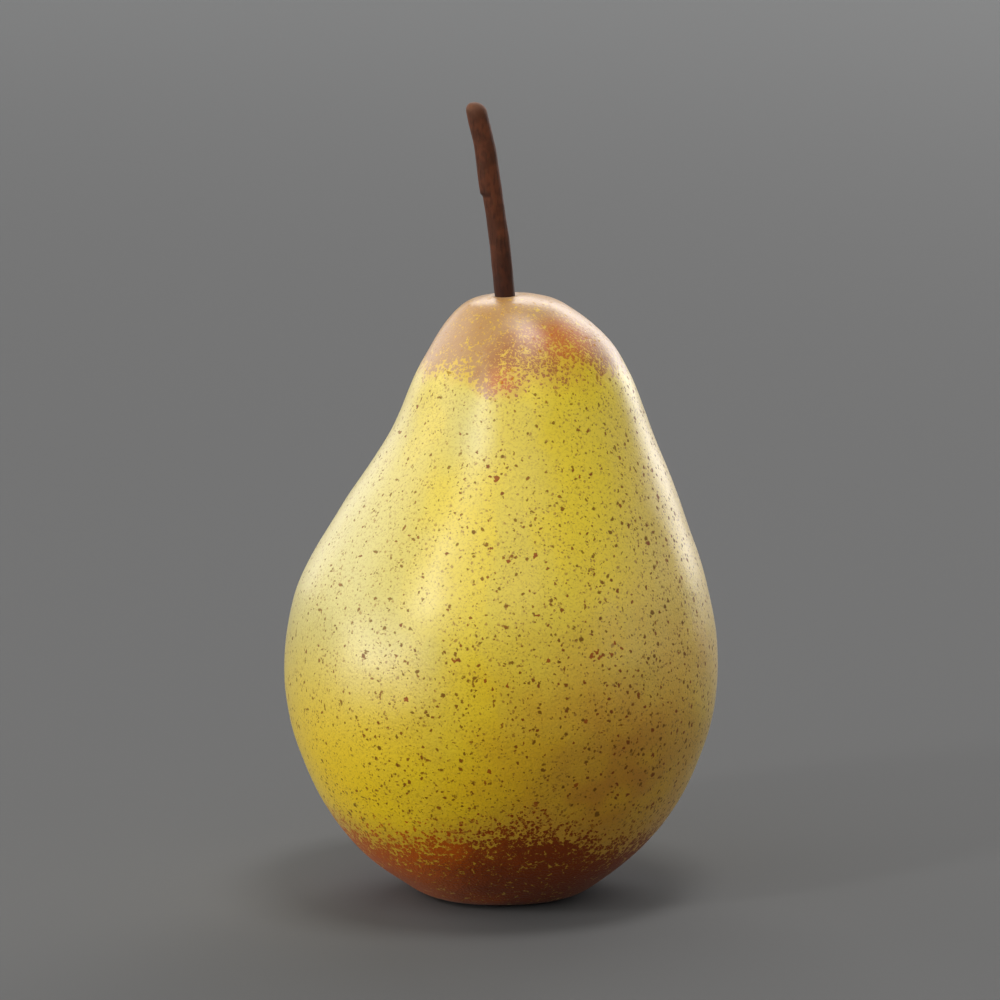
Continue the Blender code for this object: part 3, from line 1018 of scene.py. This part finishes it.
husk = Recipe("dried_calyx")
veins = husk.clouds(0.5, seed=1, detail=3)
husk_colour = husk.mix(HUSK, HUSK_DARK, husk.rise(veins, 0.45, 0.62))
husk_colour = husk.mix(husk_colour, HUSK_PALE, husk.rise(husk.clouds(1.2, seed=2), 0.56, 0.70) * 0.6)
husk_colour = husk.mix(husk_colour, HUSK_PALE, (1 - husk.rise(husk.z, 1.8, 3.2)) * 0.5)
husk_bump = husk.add("ShaderNodeBump", {}, {"Height": veins * 0.12, "Distance": MM, "Strength": 1.0})
husk_material = husk.finish(
    Base_Color=husk_colour,
    Roughness=0.74 + 0.12 * veins,
    Normal=husk_bump,
    Sheen_Weight=0.25,
    Sheen_Roughness=0.6,
)
dress(calyx, husk_material)

# %% [markdown]
# ## The studio
#
# The floor is a plain mid-grey sheet that runs far back, so that it fills the
# picture. The camera looks slightly down through a long lens, from about a
# metre away, which keeps the pear's proportions.

# %% Floor and camera
FLOOR_HALF, FLOOR_DROP = 6.0, 0.1 * MM
FLOOR_GREY = paint(100, 101, 101)
CAMERA_LENS, CAMERA_SENSOR = 200.0, 36.0
CAMERA_ELEVATION = math.radians(10)
CAMERA_TARGET = Vector((-0.26, 0, 69.0)) * MM
PICTURE_WIDTH = 172.8 * MM

floor_mesh = bpy.data.meshes.new("floor")
corners = [(-1, -1), (1, -1), (1, 1), (-1, 1)]
floor_points = [(x * FLOOR_HALF, y * FLOOR_HALF, -FLOOR_DROP) for x, y in corners]
floor_mesh.from_pydata(floor_points, [], [(0, 1, 2, 3)])
floor = add_object("floor", floor_mesh)
floor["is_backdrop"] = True
paper = Recipe("floor_paper")
dress(floor, paper.finish(Base_Color=FLOOR_GREY, Roughness=0.9, Specular_IOR_Level=0.1))

camera_data = bpy.data.cameras.new("camera")
camera_data.lens = CAMERA_LENS
camera_data.sensor_width = CAMERA_SENSOR
camera = add_object("camera", camera_data)
distance = PICTURE_WIDTH * CAMERA_LENS / CAMERA_SENSOR
backwards = Vector((0, -math.cos(CAMERA_ELEVATION), math.sin(CAMERA_ELEVATION)))
camera.location = CAMERA_TARGET + backwards * distance
camera.rotation_euler = backwards.to_track_quat("Z", "Y").to_euler()
bpy.context.scene.camera = camera
print(f"camera: {distance:.2f} m away")

# %% [markdown]
# ## Light
#
# One lamp would leave most of the pear dark, so thirteen soft boxes stand round
# it and one more lights the floor far behind. A small key on the left draws the
# belly's highlight, a wide front and a low fill carry the yellow, and one
# overhead lights the crown. The boxes to the sides and behind draw the pale
# edges. Each row gives the direction that a box shines from, in degrees round
# to the right and up, then its distance in metres, size, power and tint,
# because where a highlight sits tells the direction of its lamp.

# %% Hang the soft boxes
CREAM = (1.0, 0.98, 0.96)
ROSE, PALE_ROSE, DEEP_ROSE = (1.0, 0.97, 0.97), (1.0, 0.98, 0.98), (1.0, 0.96, 0.96)
SOFT_BOXES = [
    ("key", -48, 31, 1.3, (0.10, 0.20), 2.6, CREAM),
    ("front", -17, 42, 1.5, (1.90, 1.40), 9.2, CREAM),
    ("front_right", 44, 20, 1.6, (1.60, 1.20), 2.5, CREAM),
    ("fill", -66, 6, 1.5, (1.20, 0.24), 7.8, CREAM),
    ("left", -94, 16, 1.6, (1.30, 0.60), 2.6, CREAM),
    ("left_above", -112, 32, 1.5, (1.20, 0.70), 3.6, ROSE),
    ("left_behind", -144, 13, 2.4, (1.40, 1.00), 7.0, DEEP_ROSE),
    ("right_soft", 82, 10, 1.6, (1.50, 0.70), 2.4, CREAM),
    ("right", 140, 5, 1.8, (0.60, 0.40), 2.0, CREAM),
    ("right_above", 140, 32, 1.6, (1.20, 0.90), 4.0, ROSE),
    ("right_behind", 150, 11, 2.4, (1.30, 0.80), 8.5, ROSE),
    ("overhead", 42, 79, 1.3, (0.48, 0.26), 6.2, ROSE),
    ("behind", 180, 55, 1.6, (1.20, 1.20), 2.0, PALE_ROSE),
]
AIM = Vector((0, 0, 60)) * MM
BACKDROP = Vector((0.3, 2.3, 0))
BACKDROP_CLIMB, BACKDROP_SIZE, BACKDROP_POWER = Vector((0, 0, 1.5)), (2.5, 1.0), 47.0
ROOM_GREY = (0.02, 0.02, 0.02, 1)


def hang(name, place, towards, size, power, colour):
    """A soft box at a place, shining towards a point."""
    lamp = bpy.data.lights.new(name, "AREA")
    lamp.shape = "RECTANGLE"
    lamp.size, lamp.size_y = size
    lamp.energy = power
    lamp.color = colour
    box = add_object(name, lamp)
    box.location = place
    box.rotation_euler = (place - towards).to_track_quat("Z", "Y").to_euler()


for name, turn, climb, away, size, power, colour in SOFT_BOXES:
    turn, climb = math.radians(turn), math.radians(climb)
    level = math.cos(climb)
    out = Vector((math.sin(turn) * level, -math.cos(turn) * level, math.sin(climb)))
    hang(name, AIM + out * away, AIM, size, power, colour)
hang("backdrop", BACKDROP + BACKDROP_CLIMB, BACKDROP, BACKDROP_SIZE, BACKDROP_POWER, (1.0, 1.0, 1.0))
print("lamps:", len(SOFT_BOXES), "round the pear and one over the floor behind it")

world = bpy.data.worlds.new("studio")
world.use_nodes = True
world.node_tree.nodes["Background"].inputs["Color"].default_value = ROOM_GREY
world.node_tree.nodes["Background"].inputs["Strength"].default_value = 1.0
bpy.context.scene.world = world
bpy.context.scene.view_settings.view_transform = "Standard"

# %% [markdown]
# ## Measuring
#
# The dressed pear must be as large as the solids. Both boxes are gathered
# and their sizes printed, so that they can be compared.

# %% Measure and finish
dressed_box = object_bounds()
boxes = {
    "built": [list(corner) for corner in built_box],
    "dressed": [list(corner) for corner in dressed_box],
}
for name, (low, high) in boxes.items():
    print(name, "size in mm:", [round((h - l) / MM, 1) for l, h in zip(low, high)])
